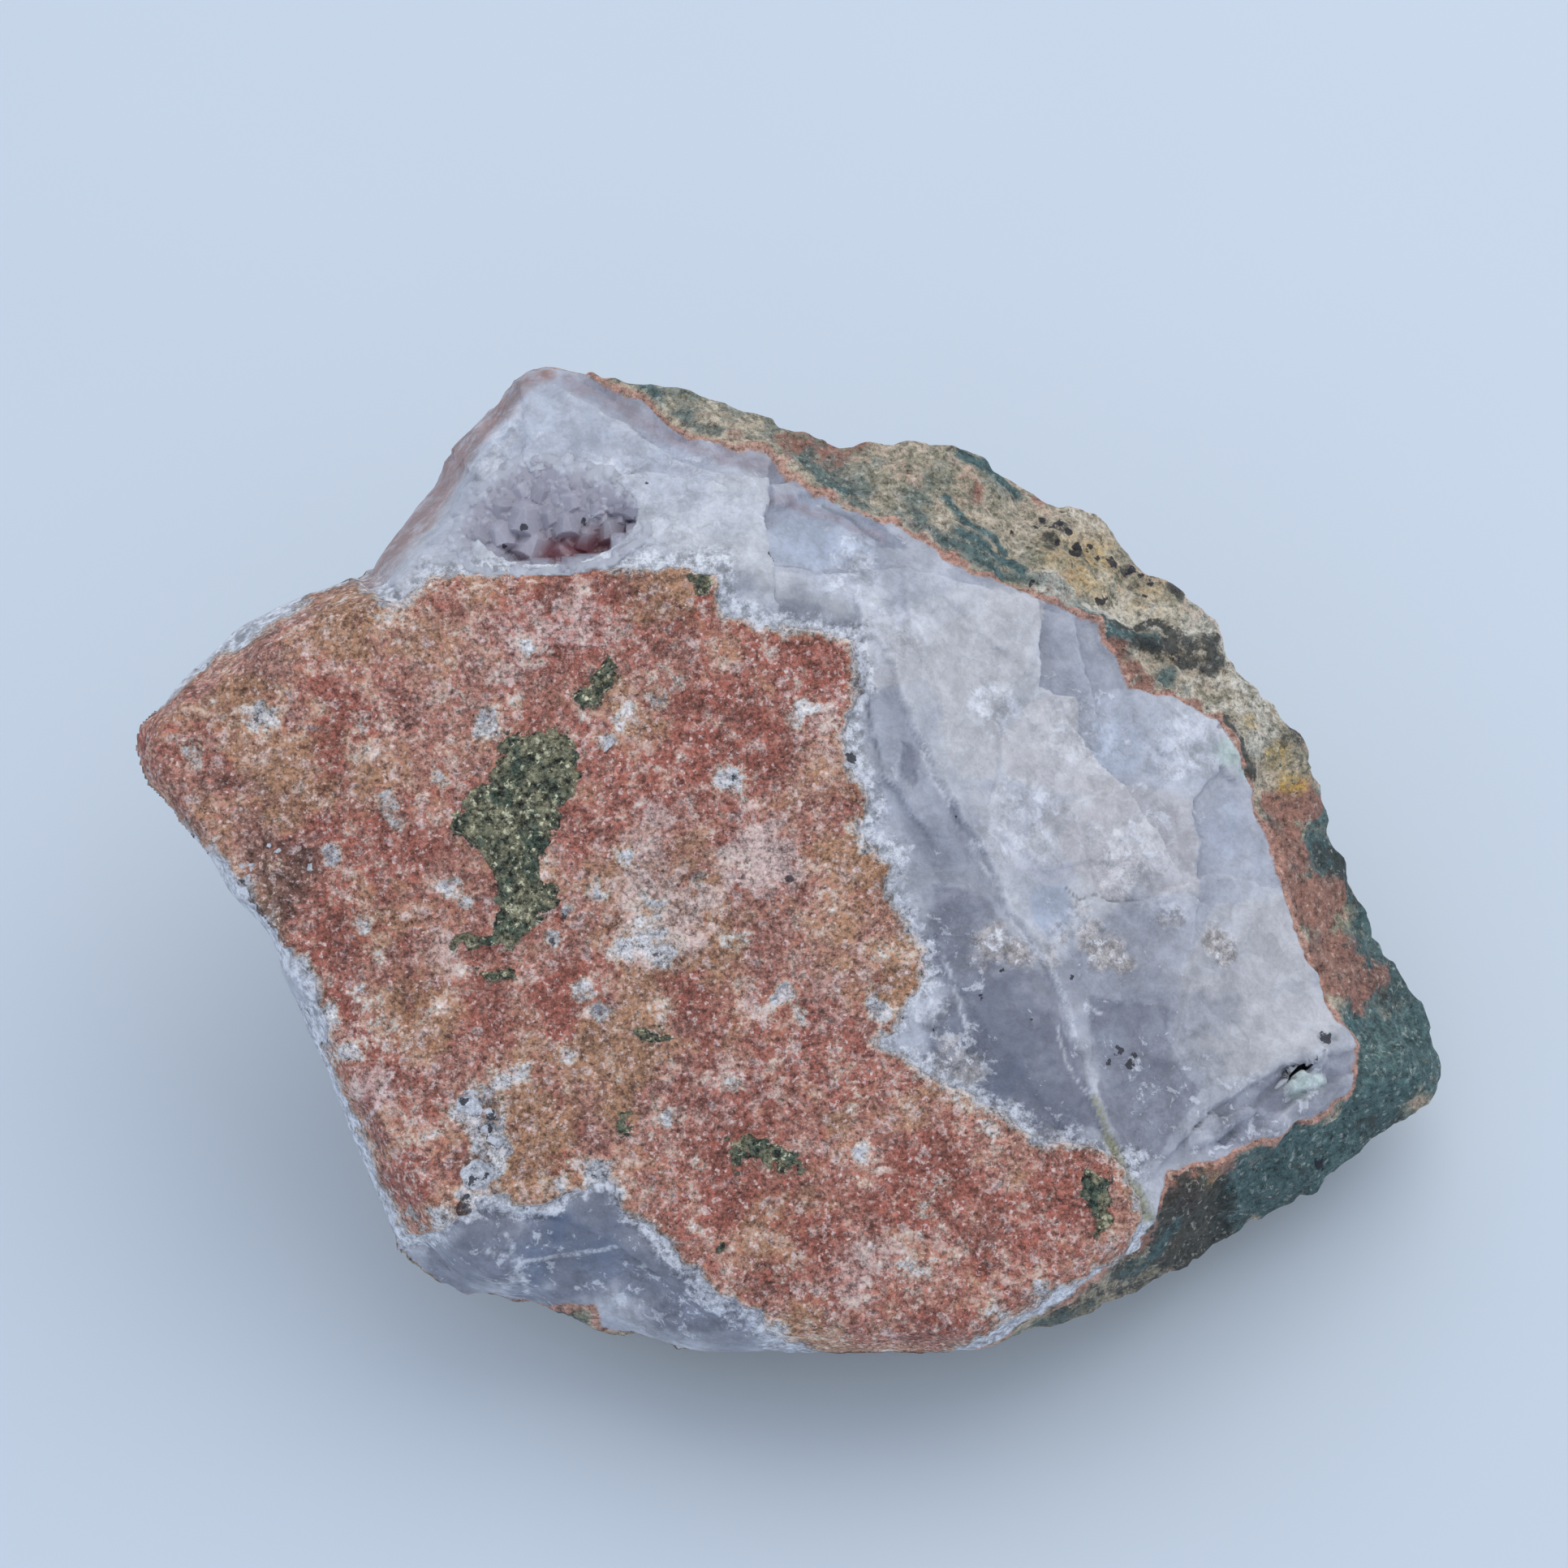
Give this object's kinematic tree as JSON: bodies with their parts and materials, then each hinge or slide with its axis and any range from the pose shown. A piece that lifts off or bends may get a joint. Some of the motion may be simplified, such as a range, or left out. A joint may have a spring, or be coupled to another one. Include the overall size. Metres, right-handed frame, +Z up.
{
  "type": "amethyst agate specimen",
  "caption": "Broken chunk of vein agate with a granular red crust face, a green host-rock rind and a small pocket lined with amethyst crystals, resting on a flat foot.",
  "frame": {"origin": "centre of the specimen's box on the ground it rests on", "axes": "+Z up, +X along the specimen's length to its host-rock end, -Y the side that the crust face looks down to"},
  "size_m": [0.1336, 0.0918, 0.0656],
  "materials": {
    "vein_agate": "rough granular crust, waxy broken agate and dull host rock",
    "amethyst_quartz": "glassy crystal faces"
  },
  "bodies": {
    "root": {"agate_stone": "vein_agate", "amethyst_druse": "amethyst_quartz"}
  },
  "joints": []
}
